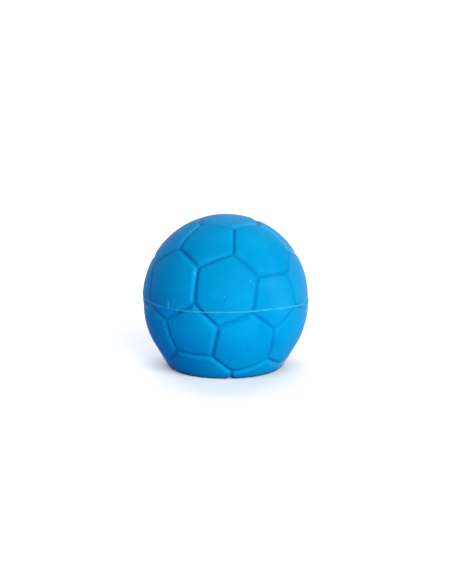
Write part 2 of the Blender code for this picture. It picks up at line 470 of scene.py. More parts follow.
@dataclass
class SkinRelief:
    """How far the moulded skin lies under the ball's plain outline."""

    sizes: BallSizes
    net: GrooveNet
    outline: Outline
    half_width: float = 0.00090       # of a groove
    depth: float = 0.00078
    bottom_round: float = 0.30        # of the half width
    shoulder_round: float = 0.20
    pillow_drop: float = 0.00011      # of a panel's edge under its middle
    pillow_reach: float = 0.0013
    lump_height: float = 0.000022
    lump_seed: int = 11
    lump_count: int = 14
    lump_waves: float = 6.0           # spread of the waves, in radians for each radius
    foot_run_out: float = 0.0012      # how far the grooves run in under the foot
    # Where the mould's ribs are rubbed low: azimuth, elevation and half width in
    # degrees, and the share of the groove's depth that is missing.
    faint_places: tuple = (
        (-50.0, -10.0, 12.0, 0.78),
        (-24.0, -6.0, 12.0, 0.50),
        (-70.0, -42.0, 12.0, 0.35),
        (-132.0, -18.0, 12.0, 0.30),
        (-154.0, 12.0, 14.0, 0.30),
    )

    def faintness(self, directions: np.ndarray) -> np.ndarray:
        """Share of the depth left: one less the sum of share * exp(-(angle / width)^2).

        Args:
            directions: unit vectors, one row each.

        Returns:
            One share for each direction.
        """
        left = np.ones(len(directions))
        for azimuth, elevation, width, share in self.faint_places:
            cosine = np.clip(directions @ polar(azimuth, elevation), -1, 1)
            left -= share * np.exp(-(np.degrees(np.arccos(cosine)) / width) ** 2)
        return left

    def groove(self, away: np.ndarray) -> np.ndarray:
        """Share of the groove's depth at a distance from its middle line.

        A V with a rounded bottom, wall = 1 + b - sqrt(x^2 + b^2) with x the distance
        over the half width, faded to zero by (wall + sqrt(wall^2 + c^2)) / 2.

        Args:
            away: distances from the middle line, in metres.

        Returns:
            One share for each distance.
        """
        x = away / self.half_width
        wall = 1 + self.bottom_round - np.sqrt(x ** 2 + self.bottom_round ** 2)
        faded = (wall + np.sqrt(wall ** 2 + self.shoulder_round ** 2)) / 2
        far = self.shoulder_round ** 2 / (4 * (1 + x ** 2))
        return np.clip(faded - far, 0.0, 1.0)

    def lumps(self, directions: np.ndarray) -> np.ndarray:
        """Slow unevenness of the moulding: the mean sine of a few random waves.

        Args:
            directions: unit vectors, one row each.

        Returns:
            Heights in metres.
        """
        random = np.random.default_rng(self.lump_seed)
        waves = random.normal(0.0, self.lump_waves, (self.lump_count, 3))
        phases = random.uniform(0.0, 2 * math.pi, self.lump_count)
        return self.lump_height * np.sin(directions @ waves.T + phases).mean(axis=1)

    def run_out(self, elevation: np.ndarray, half: Half) -> np.ndarray:
        """One on the sides, falling to zero just inside the edge of the flat.

        Args:
            elevation: angles over the joint plane, in radians.
            half: which half's skin is asked for.

        Returns:
            The share t^2 * (3 - 2t), with t going from the flat to its edge.
        """
        if half is Half.UPPER:
            return np.ones_like(elevation)
        edge = self.outline.foot_elevations[-1]
        inside = edge - self.foot_run_out / self.sizes.radius
        t = np.clip((elevation - inside) / (edge - inside), 0.0, 1.0)
        return t * t * (3 - 2 * t)

    def skin(self, directions: np.ndarray, half: Half) -> np.ndarray:
        """Points of the moulded skin: centre + direction * (outline - sunk).

        Args:
            directions: unit vectors, one row each.
            half: which half's skin is asked for.

        Returns:
            One row of coordinates for each direction.
        """
        elevation = np.arcsin(np.clip(directions[:, 2], -1, 1))
        away = self.sizes.radius * self.net.distance(directions)
        sunk = self.depth * self.groove(away) * self.faintness(directions)
        sunk = sunk + self.pillow_drop * np.exp(-away / self.pillow_reach)
        sunk = (sunk + self.lumps(directions)) * self.run_out(elevation, half)
        reach = self.outline.distance(elevation, half) - sunk
        points = self.sizes.centre + directions * reach[:, None]
        points[:, 2] = np.maximum(points[:, 2], 0.0)
        return points


@dataclass(frozen=True)
class JointWander:
    """How the joint between the halves wanders up and down round the ball."""

    seam: float
    # Each rise: where it stands and its half width in degrees, its height in metres.
    rises: tuple = (
        (-183.0, 22.0, 0.0024),
        (-112.0, 16.0, -0.0002),
        (-62.0, 12.0, 0.0002),
        (-5.0, 26.0, -0.0009),
    )
    fade: float = 0.0045              # how far above and below it the halves follow

    def moved(self, points: np.ndarray) -> np.ndarray:
        """Points lifted with the joint, less and less away from it.

        The lift is the sum over the rises of height * exp(-(angle off / width)^2),
        times exp(-((z - seam) / fade)^2).

        Args:
            points: one row of coordinates for each point.

        Returns:
            The points after the lift.
        """
        angle = np.arctan2(points[:, 1], points[:, 0])
        places, widths, heights = np.array(self.rises).T
        lift = bells(degrees_off(angle, places), widths, heights)
        follow = np.exp(-((points[:, 2] - self.seam) / self.fade) ** 2)
        return points + np.outer(lift * follow, UPWARDS)


@dataclass
class HalfShell:
    """One grooved half of the ball, hollow and open at the joint."""

    half: Half
    sizes: BallSizes
    net: GrooveNet
    outline: Outline
    relief: SkinRelief
    wander: JointWander
    side_steps: int = 26              # along each side of a panel
    rings: int = 24                   # from a panel's sides to its middle
    ring_bias: float = 1.8            # crowds the rings towards the grooves
    rim_rows: int = 4                 # across the rim
    cavity_rows: int = 22             # down the cavity's wall
    sharp_angle: float = math.radians(50)
    shoulder_width: float = 0.45      # of a groove's half width
    contact_shade_height: float = 0.0013      # how far the painted contact shadow climbs from the foot's edge
    contact_shade_from: float = 0.0170        # off the axis, where the painted contact shadow starts on the flat
    contact_shade_width: float = 0.0030

    @property
    def level(self) -> float:
        """Height of the rim over the ball's centre, for a unit ball."""
        return self.half.side * self.sizes.rim_clearance / self.sizes.radius

    def panel_grid(self, panel: list) -> tuple[np.ndarray, np.ndarray, np.ndarray]:
        """Directions over one panel and the faces between them.

        The first row runs round the panel along its grooves, and each further row
        is that loop drawn in towards the panel's middle by a share (k / rings)^bias.

        Args:
            panel: corner numbers round the panel.

        Returns:
            Unit directions, quads and the middle's triangles.
        """
        corners = self.net.corners[panel]
        following = np.roll(corners, -1, axis=0)
        t = np.arange(self.side_steps)[None, :, None] / self.side_steps
        angle = np.arccos(np.sum(corners * following, axis=1))[:, None, None]
        arc = (np.sin((1 - t) * angle) * corners[:, None]
               + np.sin(t * angle) * following[:, None]) / np.sin(angle)
        loop = arc.reshape(-1, 3)
        middle = unit(corners.mean(axis=0))
        share = (np.arange(self.rings) / self.rings)[:, None, None] ** self.ring_bias
        rows = unit(loop[None] * (1 - share) + middle * share)
        points = np.vstack((rows.reshape(-1, 3), middle))
        columns = len(loop)
        tips = fan_faces((self.rings - 1) * columns, columns, len(points) - 1)
        return points, grid_faces(self.rings, columns), tips

    def unit_skin(self) -> bpy.types.Mesh:
        """All of the half's panels on a unit ball, welded and cut level at the rim.

        Returns:
            The half's skin as an open mesh; the lower one is also cut into rows
            round its foot.
        """
        points, quads, tips = [], [], []
        start = 0
        for panel in self.net.panels:
            grid, squares, middle = self.panel_grid(panel)
            if (grid[:, 2] * self.half.side).max() < self.level * self.half.side:
                continue
            points.append(grid)
            quads.append(squares + start)
            tips.append(middle + start)
            start += len(grid)
        mesh = new_mesh(self.half.value + "_unit", np.vstack(points), quads + tips)
        bm = bmesh.new()
        bm.from_mesh(mesh)
        bmesh.ops.remove_doubles(bm, verts=bm.verts, dist=UNIT_WELD)
        levels = [self.level]
        if self.half is Half.LOWER:
            levels += np.sin(self.outline.foot_elevations).tolist()
        for level in levels:
            rim = level == self.level
            bmesh.ops.bisect_plane(bm, geom=bm.verts[:] + bm.edges[:] + bm.faces[:],
                                   plane_co=(0, 0, level), plane_no=UPWARDS, dist=UNIT_WELD,
                                   clear_inner=rim and self.half is Half.UPPER,
                                   clear_outer=rim and self.half is Half.LOWER)
        bm.to_mesh(mesh)
        bm.free()
        return mesh

    def lining(self, rim: np.ndarray) -> bpy.types.Mesh:
        """Flat rim and round cavity wall, as one grid turned from the outer edge.

        Each column starts at a point of the outer edge, crosses the rim in a
        straight line and follows the cavity's sphere to its pole; on the lower half
        the sphere stops at the cavity's flat floor.

        Args:
            rim: points of the outer edge, in order round the ball.

        Returns:
            The lining's mesh, whose first row repeats the outer edge.
        """
        inner = self.sizes.radius - self.sizes.wall
        azimuth = np.arctan2(rim[:, 1], rim[:, 0])
        outward = np.column_stack((np.cos(azimuth), np.sin(azimuth), np.zeros(len(rim))))
        lift = rim[:, 2].mean() - self.sizes.seam
        edge = self.sizes.centre + outward * math.sqrt(inner ** 2 - lift ** 2) + (0, 0, lift)
        share = np.arange(self.rim_rows)[:, None, None] / self.rim_rows
        across = rim[None] * (1 - share) + edge[None] * share
        angle = np.linspace(math.asin(lift / inner), self.half.side * math.pi / 2,
                            self.cavity_rows)[:-1, None, None]
        wall = inner * (np.cos(angle) * outward[None] + np.sin(angle) * np.array(UPWARDS))
        lowest = self.sizes.wall - self.sizes.seam
        wall[..., 2] = np.maximum(wall[..., 2], lowest)
        wall = wall + self.sizes.centre
        tip = np.array(((0, 0, max(self.half.side * inner, lowest)),)) + self.sizes.centre
        grid = np.concatenate((across, wall))
        rows, columns = grid.shape[:2]
        points = np.vstack((grid.reshape(-1, 3), tip))
        faces = (grid_faces(rows, columns),
                 fan_faces((rows - 1) * columns, columns, len(points) - 1))
        return new_mesh(self.half.value + "_lining", points, faces)

    def build(self) -> bpy.types.Object:
        """Make the closed half shell as one object.

        Returns:
            The shell, not yet dressed.
        """
        skin = self.unit_skin()
        directions = read_points(skin)
        on_rim = np.abs(directions[:, 2] - self.level) < RIM_BAND
        points = self.relief.skin(unit(directions), self.half)
        rim_height = self.sizes.seam + self.half.side * self.sizes.rim_clearance
        points[on_rim, 2] = rim_height
        write_points(skin, points)
        edge = points[on_rim].astype(np.float32).astype(float)
        edge = edge[np.argsort(np.arctan2(edge[:, 1], edge[:, 0]))]
        lining = self.lining(edge)
        bm = bmesh.new()
        bm.from_mesh(skin)
        bm.from_mesh(lining)
        bmesh.ops.remove_doubles(bm, verts=bm.verts, dist=LINING_WELD)
        bmesh.ops.recalc_face_normals(bm, faces=bm.faces)
        mesh = bpy.data.meshes.new(self.half.value + "_shell")
        bm.to_mesh(mesh)
        bm.free()
        bpy.data.meshes.remove(skin)
        bpy.data.meshes.remove(lining)
        self.mark(mesh)
        write_points(mesh, self.wander.moved(read_points(mesh)))
        mesh.shade_smooth()
        mesh.set_sharp_from_angle(angle=self.sharp_angle)
        return new_object(self.half.value + "_shell", mesh)

    def mark(self, mesh: bpy.types.Mesh) -> None:
        """Store groove, shoulder and foot shares on the outer skin's points.

        The shoulder's share is exp(-beside^2), and the foot's, which carries the painted
        contact shadow by the floor, exp(-height / climb), faded in over a ring of the
        flat. All of them are zero inside the shell.

        Args:
            mesh: the shell's mesh, before it follows the joint.
        """
        away_from_centre = read_points(mesh) - self.sizes.centre
        distance = np.linalg.norm(away_from_centre, axis=1)
        directions = unit(away_from_centre)
        outside = distance > self.sizes.radius - self.sizes.wall / 2
        if self.half is Half.LOWER:
            outside |= away_from_centre[:, 2] < -(self.sizes.seam - self.sizes.wall / 2)
        away = self.sizes.radius * self.net.distance(directions)
        elevation = np.arcsin(np.clip(directions[:, 2], -1, 1))
        marked = outside * self.relief.run_out(elevation, self.half)
        half_width = self.relief.half_width
        beside = (away - half_width) / (self.shoulder_width * half_width)
        # the groove share also carries the painted shade in the groove bottoms
        write_attribute(mesh, GROOVE_ATTRIBUTE, self.relief.groove(away) * marked)
        write_attribute(mesh, SHOULDER_ATTRIBUTE, np.exp(-beside ** 2) * marked)
        # painted contact shadow: strongest at the foot's edge by the floor
        height = away_from_centre[:, 2] + self.sizes.seam
        off_axis = np.hypot(away_from_centre[:, 0], away_from_centre[:, 1])
        beyond = np.clip((off_axis - self.contact_shade_from) / self.contact_shade_width, 0.0, 1.0)
        low = np.exp(-height / self.contact_shade_height)
        write_attribute(mesh, FOOT_ATTRIBUTE, low * beyond * outside)

    def place(self, finish: "TackyRubber") -> bpy.types.Object:
        """Build the shell, dress it and put it in its place in the frame.

        Args:
            finish: the shell's rubber.

        Returns:
            The finished shell.
        """
        shell = self.build()
        shell.data.materials.append(finish.material(self.half.value + "_rubber"))
        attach(shell, BODY)
        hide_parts(self.half.value)
        return shell


@dataclass
class SeamBond:
    """Ring of cured cement between the halves, with its bead outside."""

    sizes: BallSizes
    wander: JointWander
    steps: int = 720
    web_half: float = 0.00006         # half the thickness between the rims
    web_cover: float = 1.2            # least rise and drop of the bead, in web halves
    rise: float = 0.00021             # bead above the joint, on the upper half's skin
    drop: float = 0.00020             # bead below the joint, on the lower half's skin
    proud: float = 0.00009            # bead beyond the lower half's skin
    skin_gap: float = 0.00001         # from either half's skin to the bead's edges
    sway: float = 0.00003             # how far the whole bead wanders up and down
    # Where the bead is fuller: azimuth and half width in degrees, and the gain.
    full_places: tuple = ((-45.0, 32.0, 0.55), (-165.0, 25.0, 0.50))
    height_range: tuple = (0.4, 1.9)  # least and most factor on the rise and drop
    reach_range: tuple = (0.3, 1.8)   # and on how far it stands proud
    unevenness: float = 0.22
    waves: int = 16
    wave_counts: tuple = (5, 60)      # fewest waves round the ring, and one over the most
    seed: int = 5
    corner_steps: int = 7
    sharp_angle: float = math.radians(60)

    def uneven(self, angle: np.ndarray, random: np.random.Generator) -> np.ndarray:
        """Uneven bead size round the ring: a sum of whole waves, about one in the mean.

        Args:
            angle: angles round the ring, in radians.
            random: the source of the waves.

        Returns:
            One factor for each angle.
        """
        counts = random.integers(*self.wave_counts, self.waves)
        phases = random.uniform(0, 2 * math.pi, self.waves)
        sums = np.sin(angle[:, None] * counts + phases).sum(axis=1)
        return 1 + self.unevenness * sums / math.sqrt(self.waves)

    def fullness(self, angle: np.ndarray) -> np.ndarray:
        """Slow gain of the bead: one plus the sum of gain * exp(-(angle off / width)^2)."""
        places, widths, gains = np.array(self.full_places).T
        return 1 + bells(degrees_off(angle, places), widths, gains)

    def section(self, height: np.ndarray, reach: np.ndarray,
                sway: np.ndarray) -> tuple[np.ndarray, np.ndarray]:
        """Section at each place round the ring.

        It is a thin web between the rims that ends in a half-round bead, radius =
        skin + proud * reach * cos(a) and lift = (rise or drop) * height * sin(a) + sway.

        Args:
            height: factor on the bead's rise and drop, one row for each place.
            reach: factor on how far it stands proud.
            sway: how far its middle is moved up, in metres.

        Returns:
            Distances off the axis and lifts over the joint, one row for each place.
        """
        upper_skin = self.sizes.radius + self.skin_gap
        lower_skin = self.sizes.radius * self.sizes.lower_swell + self.skin_gap
        a = np.linspace(math.pi / 2, -math.pi / 2, self.corner_steps)[None, :]
        skin = upper_skin + (lower_skin - upper_skin) * (1 - np.sin(a)) / 2
        bead = skin + np.maximum(np.cos(a), 0.0) * self.proud * reach
        lift = np.where(a > 0, self.rise, self.drop) * np.sin(a) * height + sway
        cover = self.web_half * self.web_cover
        lift[:, 0] = np.maximum(lift[:, 0], cover)
        lift[:, -1] = np.minimum(lift[:, -1], -cover)
        ones = np.ones((self.steps, 1))
        inner = ones * (self.sizes.radius - self.sizes.wall)
        top = ones * self.web_half
        return (np.hstack((inner, ones * upper_skin, bead, ones * lower_skin, inner)),
                np.hstack((top, top, lift, -top, -top)))

    def build(self) -> bpy.types.Object:
        """Sweep the section round the joint.

        Returns:
            The ring, not yet dressed.
        """
        random = np.random.default_rng(self.seed)
        angle = np.arange(self.steps) / self.steps * 2 * math.pi
        height = np.clip(self.uneven(angle, random), *self.height_range) * self.fullness(angle)
        reach = np.clip(self.uneven(angle, random), *self.reach_range)
        sway = self.sway * (self.uneven(angle, random) - 1)
        radius, lift = self.section(height[:, None], reach[:, None], sway[:, None])
        points = np.stack((radius * np.cos(angle)[:, None], radius * np.sin(angle)[:, None],
                           self.sizes.seam + lift), axis=-1)
        columns = points.shape[1]
        faces = grid_faces(self.steps + 1, columns) % (self.steps * columns)
        mesh = new_mesh("seam_bond_bead", self.wander.moved(points.reshape(-1, 3)), (faces,))
        bm = bmesh.new()
        bm.from_mesh(mesh)
        bmesh.ops.recalc_face_normals(bm, faces=bm.faces)
        bm.to_mesh(mesh)
        bm.free()
        mesh.shade_smooth()
        mesh.set_sharp_from_angle(angle=self.sharp_angle)
        return new_object("seam_bond_bead", mesh)

    def place(self, finish: "CuredCement") -> bpy.types.Object:
        """Build the ring, dress it and put it in its place in the frame.

        Args:
            finish: the ring's cement.

        Returns:
            The finished ring.
        """
        ring = self.build()
        ring.data.materials.append(finish.material("seam_cement"))
        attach(ring, BODY)
        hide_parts("seam_bond")
        return ring


class Graph:
    """A node tree with short ways to place and join nodes.

    Its patterns are laid on the coordinates kept in where.
    """

    def __init__(self, tree: bpy.types.NodeTree) -> None:
        """Keep the tree that nodes are placed in."""
        self.tree = tree
        self.where: bpy.types.NodeSocket | None = None

    def node(self, kind: str, inputs: dict | None = None, **settings: object) -> bpy.types.Node:
        """Place a node.

        Args:
            kind: the node's type name.
            inputs: values or sockets for its inputs, by name or number.
            settings: the node's own properties.

        Returns:
            The new node.
        """
        made = self.tree.nodes.new(kind)
        for key, value in settings.items():
            setattr(made, key, value)
        self.feed(made, inputs or {})
        return made

    def feed(self, node: bpy.types.Node, inputs: dict) -> None:
        """Set a node's inputs.

        Args:
            node: a node of this tree.
            inputs: values or sockets for its inputs, by name or number.
        """
        for key, value in inputs.items():
            if isinstance(value, bpy.types.NodeSocket):
                self.tree.links.new(value, node.inputs[key])
            else:
                node.inputs[key].default_value = value

    def maths(self, operation: str, first: object, second: object = 0.0,
              third: object = 0.0, clamp: bool = False) -> bpy.types.NodeSocket:
        """Result of a Math node on values or sockets."""
        return self.node('ShaderNodeMath', {0: first, 1: second, 2: third},
                         operation=operation, use_clamp=clamp).outputs[0]

    def times(self, first: object, second: object) -> bpy.types.NodeSocket:
        """Product of two values or sockets."""
        return self.maths('MULTIPLY', first, second)

    def vector(self, operation: str, inputs: dict) -> bpy.types.NodeSocket:
        """Result of a Vector Math node, a vector or a number as its operation gives."""
        made = self.node('ShaderNodeVectorMath', inputs, operation=operation)
        return next(socket for socket in made.outputs if socket.enabled)

    def between(self, value: object, low: object, high: object,
                to_low: float = 0.0, to_high: float = 1.0) -> bpy.types.NodeSocket:
        """A value carried smoothly from one range to another."""
        return self.node('ShaderNodeMapRange', {0: value, 1: low, 2: high, 3: to_low, 4: to_high},
                         interpolation_type='SMOOTHSTEP').outputs[0]

    def noise(self, inputs: dict) -> bpy.types.NodeSocket:
        """Value of a Noise Texture."""
        return self.node('ShaderNodeTexNoise', {"Vector": self.where, **inputs}).outputs[0]

    def cells(self, scale: object) -> bpy.types.NodeOutputs:
        """Outputs of a Voronoi Texture."""
        return self.node('ShaderNodeTexVoronoi', {"Vector": self.where, "Scale": scale}).outputs

    def bump(self, height: object, distance: float, strength: float) -> bpy.types.NodeSocket:
        """Normal over a height."""
        return self.node('ShaderNodeBump', {"Height": height, "Distance": distance,
                                            "Strength": strength}).outputs["Normal"]

    def mix(self, share: object, first: object, second: object) -> bpy.types.NodeSocket:
        """Blend of two colours."""
        made = self.node('ShaderNodeMix', {0: share, 6: first, 7: second}, data_type='RGBA')
        return made.outputs[2]

    def blend(self, share: object, first: bpy.types.Node, second: bpy.types.Node) -> bpy.types.Node:
        """Blend of two shaders."""
        return self.node('ShaderNodeMixShader',
                         {0: share, 1: first.outputs[0], 2: second.outputs[0]})

    def effect(self, tree: bpy.types.NodeTree, inputs: dict | None = None) -> bpy.types.NodeSocket:
        """Output of a shared group, placed here with its own values."""
        return self.node('ShaderNodeGroup', {"Coordinate": self.where, **(inputs or {})},
                         node_tree=tree).outputs[0]


class EffectGroup(Graph):
    """A shader node group in the making, with named inputs and one output."""

    def __init__(self, name: str, output: str, inputs: dict) -> None:
        """Start the group.

        Args:
            name: the group's name.
            output: the name of its output.
            inputs: default value of each input beside Coordinate; three numbers
                make a vector.
        """
        super().__init__(bpy.data.node_groups.new(name, 'ShaderNodeTree'))
        inputs = {"Coordinate": (0.0, 0.0, 0.0), **inputs}
        for label, value in inputs.items():
            kind = 'NodeSocketVector' if isinstance(value, tuple) else 'NodeSocketFloat'
            socket = self.tree.interface.new_socket(label, in_out='INPUT', socket_type=kind)
            socket.default_value = value
        self.tree.interface.new_socket(output, in_out='OUTPUT', socket_type='NodeSocketFloat')
        self.inputs = self.node('NodeGroupInput').outputs
        self.where = self.inputs["Coordinate"]

    def finished(self, result: bpy.types.NodeSocket) -> bpy.types.NodeTree:
        """Give the group its result and return its tree."""
        self.node('NodeGroupOutput', {0: result})
        return self.tree


@dataclass(frozen=True)
class EffectShapes:
    """Fixed proportions of the effects, the lengths as shares of a cell."""

    pore_core: float = 0.05
    pore_edge: float = 0.22
    speck_core: float = 0.5           # of a speck's size
    mark_core: float = 0.35           # of a mark's half width
    mark_ragged: float = 5000.0       # scale of the noise that makes a mark's edge ragged
    mark_least: float = 0.5           # of its half width, where the noise is zero
    tiny: float = 1e-12               # keeps a mark of no length from dividing by zero
    wear_from: float = 0.42
    wear_to: float = 0.66


class EffectGroups:
    """Shader node groups that the ball's finishes share, each built once."""

    def __init__(self, shapes: EffectShapes) -> None:
        """Build every group.

        Args:
            shapes: the fixed proportions of their patterns.
        """
        self.shapes = shapes
        self.grain = self.build_grain()
        self.cloud = self.build_cloud()
        self.specks = self.build_specks()
        self.mark = self.build_mark()
        self.wear = self.build_wear()

    def build_grain(self) -> bpy.types.NodeTree:
        """Fine moulded grain with scattered pores, as a height.

        Returns:
            The finished group.
        """
        g = EffectGroup("rubber_grain", "Height",
                        {"Grain Scale": 3000.0, "Pore Scale": 900.0, "Pore Depth": 0.6})
        i = g.inputs
        fine = g.noise({"Scale": i["Grain Scale"], "Detail": 4.0, "Roughness": 0.62})
        pores = g.cells(i["Pore Scale"])["Distance"]
        dot = g.between(pores, self.shapes.pore_core, self.shapes.pore_edge, 1.0, 0.0)
        return g.finished(g.maths('SUBTRACT', fine, g.times(dot, i["Pore Depth"])))

    def build_cloud(self) -> bpy.types.NodeTree:
        """Soft clouds of tone, from zero to one, over the surface.

        Returns:
            The finished group.
        """
        g = EffectGroup("tone_cloud", "Mask", {"Scale": 90.0, "Low": 0.35, "High": 0.68})
        i = g.inputs
        warp = g.noise({"Scale": i["Scale"], "Detail": 5.0, "Roughness": 0.55, "Distortion": 0.6})
        return g.finished(g.between(warp, i["Low"], i["High"]))

    def build_specks(self) -> bpy.types.NodeTree:
        """Sparse round dust specks: a few of many small cells hold one.

        Returns:
            The finished group.
        """
        g = EffectGroup("dust_specks", "Mask", {"Scale": 320.0, "Size": 0.08, "Rarity": 0.9})
        i = g.inputs
        cells = g.cells(i["Scale"])
        core = g.times(i["Size"], self.shapes.speck_core)
        dot = g.between(cells["Distance"], core, i["Size"], 1.0, 0.0)
        pick = g.node('ShaderNodeSeparateColor', {"Color": cells["Color"]}).outputs
        chosen = g.times(dot, g.maths('GREATER_THAN', pick[0], i["Rarity"]))
        return g.finished(g.times(chosen, pick[1]))

    def build_mark(self) -> bpy.types.NodeTree:
        """One small streak or speck between two points, with a ragged edge.

        A place's distance from the streak is |offset - along * share|, with share =
        offset . along / |along|^2 held between zero and one.

        Returns:
            The finished group.
        """
        g = EffectGroup("small_mark", "Mask", {"Start": (0.0, 0.0, 0.0), "End": (0.0, 0.0, 0.0),
                                               "Half Width": 0.0002})
        i = g.inputs
        along = g.vector('SUBTRACT', {0: i["End"], 1: i["Start"]})
        offset = g.vector('SUBTRACT', {0: g.where, 1: i["Start"]})
        reach = g.vector('DOT_PRODUCT', {0: offset, 1: along})
        length = g.maths('ADD', g.vector('DOT_PRODUCT', {0: along, 1: along}), self.shapes.tiny)
        share = g.maths('DIVIDE', reach, length, clamp=True)
        foot = g.vector('SCALE', {0: along, "Scale": share})
        apart = g.vector('DISTANCE', {0: offset, 1: foot})
        ragged = g.noise({"Scale": self.shapes.mark_ragged})
        edge = g.times(i["Half Width"], g.maths('ADD', ragged, self.shapes.mark_least))
        core = g.times(edge, self.shapes.mark_core)
        return g.finished(g.between(apart, core, edge, 1.0, 0.0))

    def build_wear(self) -> bpy.types.NodeTree:
        """Patchy wear along the shoulders of the grooves.

        Returns:
            The finished group.
        """
        g = EffectGroup("shoulder_wear", "Mask", {"Shoulder": 0.0, "Scale": 260.0, "Amount": 0.35})
        i = g.inputs
        patches = g.noise({"Scale": i["Scale"], "Detail": 4.0, "Roughness": 0.6})
        worn = g.between(patches, self.shapes.wear_from, self.shapes.wear_to)
        return g.finished(g.times(g.times(worn, i["Shoulder"]), i["Amount"]))


def new_finish(name: str) -> tuple[bpy.types.Material, Graph, bpy.types.Node]:
    """Start a material with a Principled BSDF and Object coordinates.

    Args:
        name: the material's name.

    Returns:
        The material, its graph and its shader.
    """
    material = bpy.data.materials.new(name)
    material.use_nodes = True
    g = Graph(material.node_tree)
    g.where = g.node('ShaderNodeTexCoord').outputs["Object"]
    return material, g, material.node_tree.nodes["Principled BSDF"]


@dataclass(frozen=True)
class TackyRubber:
    """Matt, slightly tacky moulded blue rubber, with bloom and dust, painted shade in the grooves
    and at the foot, and a painted sheen along the outline.
    """

    groups: EffectGroups
    outline: Outline
    deep: tuple = (0.0, 0.275, 0.520, 1.0)
    fresh: tuple = (0.0, 0.312, 0.562, 1.0)
    tone_clouds: tuple = (70.0,)      # scale
    bloom: tuple = (0.012, 0.350, 0.600, 1.0)
    bloom_share: float = 0.30
    bloom_clouds: tuple = (210.0, 0.52, 0.80)        # scale, and where they start and fill
    # painted shade: darker colour in the groove bottoms, where shade falls in a recess
    groove_shade: tuple = (0.0, 0.215, 0.455, 1.0)
    groove_shade_share: float = 0.60
    groove_shade_falloff: float = 1.4         # power that holds the painted shade to a groove's bottom
    # painted contact shadow: dark navy along the foot's edge by the floor
    contact_shade: tuple = (0.0, 0.060, 0.150, 1.0)
    contact_shade_share: float = 0.8
    worn: tuple = (0.010, 0.370, 0.620, 1.0)
    dust: tuple = (0.140, 0.540, 0.800, 1.0)
    fine_specks: tuple = (900.0, 0.10, 0.93)         # scale, size and rarity
    fine_share: float = 0.5
    # pale mix along the outline: painted grazing sheen of the bright surroundings, partly fine dust
    dust_and_sheen: tuple = (0.460, 0.670, 0.710, 1.0)
    dust_and_sheen_share: float = 0.62          # of the painted sheen and dust, seen along the outline
    dust_and_sheen_falloff: float = 6.0         # power that holds the painted sheen and dust to the outline
    lean_share: float = 0.45          # how much the lower side turns downwards
    crown_paling: float = 0.05          # of the pale mix, paler towards the crown
    paling_from: float = 0.88        # share of the radius over the joint
    roughness: float = 0.56
    rougher: float = 0.10             # more where a cloud is full
    rough_clouds: tuple = (400.0,)
    dust_roughness: float = 0.9
    swell: float = 0.8                # coarse height beside the grain's
    swell_clouds: tuple = (620.0, 0.2, 0.8)          # scale, and where they start and fill
    bump_height: float = 0.000032
    bump_strength: float = 0.8
    specular: float = 0.02
    sheen: float = 0.03
    sheen_roughness: float = 0.20
    sheen_tint: tuple = (0.55, 0.78, 1.0, 1.0)
    # Small marks: start and end (azimuth, elevation), half width and depth under
    # the plain skin in mm, strength.
    marks: tuple = (
        ((-113.4, 24.9), (-110.8, 24.3), 0.26, 0.40, 0.80),
        ((-111.8, 27.2), (-111.6, 25.6), 0.20, 0.40, 0.45),
        ((-72.8, 19.9), (-72.6, 19.9), 0.30, 0.00, 0.50),
        ((-90.8, 10.2), (-90.8, 10.1), 0.24, 0.00, 0.60),
        ((-131.1, 4.2), (-130.8, 0.8), 0.34, 0.00, 0.65),
        ((-95.9, -9.2), (-90.8, -9.0), 0.20, 0.00, 0.45),
        ((-53.0, 15.0), (-50.0, 4.0), 6.00, 0.00, 0.04),
        ((-30.0, 20.0), (-24.0, 8.0), 5.00, 0.00, 0.04),
    )

    @property
    def sizes(self) -> BallSizes:
        """The ball's driving sizes."""
        return self.outline.sizes

    def spot(self, place: tuple, depth: float) -> tuple:
        """Point under the plain skin.

        Args:
            place: its azimuth and elevation in degrees.
            depth: how far under the plain skin it lies, in millimetres.

        Returns:
            The point's coordinates in metres.
        """
        azimuth, elevation = place
        half = Half.LOWER if elevation < 0 else Half.UPPER
        reach = self.outline.distance(np.radians([elevation]), half) - depth / 1000
        return tuple((self.sizes.centre + polar(azimuth, elevation) * reach).tolist())

    def clouds(self, g: Graph, settings: tuple) -> bpy.types.NodeSocket:
        """Mask of soft clouds of a scale, and of limits if not the usual ones."""
        return g.effect(self.groups.cloud, dict(zip(("Scale", "Low", "High"), settings)))

    def dustiness(self, g: Graph) -> bpy.types.NodeSocket:
        """Mask of the specks and small marks.

        Args:
            g: the material's graph.

        Returns:
            The mask's socket.
        """
        few = g.effect(self.groups.specks)
        fine = g.effect(self.groups.specks, dict(zip(("Scale", "Size", "Rarity"),
                                                     self.fine_specks)))
        dust = g.maths('MAXIMUM', few, g.times(fine, self.fine_share))
        for start, end, half_width, depth, strength in self.marks:
            mark = g.effect(self.groups.mark, {"Start": self.spot(start, depth),
                                               "End": self.spot(end, depth),
                                               "Half Width": half_width / 1000})
            dust = g.maths('MAXIMUM', dust, g.times(mark, strength))
        return dust

    def colour(self, g: Graph) -> bpy.types.NodeSocket:
        """Colour of the skin with its painted groove shade and contact shadow, before its dust.

        Args:
            g: the material's graph.

        Returns:
            The colour's socket.
        """
        groove, shoulder, foot = (
            g.node('ShaderNodeAttribute', attribute_name=name).outputs["Fac"]
            for name in (GROOVE_ATTRIBUTE, SHOULDER_ATTRIBUTE, FOOT_ATTRIBUTE))
        colour = g.mix(self.clouds(g, self.tone_clouds), self.deep, self.fresh)
        patches = self.clouds(g, self.bloom_clouds)
        colour = g.mix(g.times(patches, self.bloom_share), colour, self.bloom)
        # painted shade in the groove bottoms
        groove_shade_mask = g.times(g.maths('POWER', groove, self.groove_shade_falloff), self.groove_shade_share)
        colour = g.mix(groove_shade_mask, colour, self.groove_shade)
        # painted contact shadow along the foot's edge
        colour = g.mix(g.times(foot, self.contact_shade_share), colour, self.contact_shade)
        wear = g.effect(self.groups.wear, {"Shoulder": shoulder})
        return g.mix(wear, colour, self.worn)

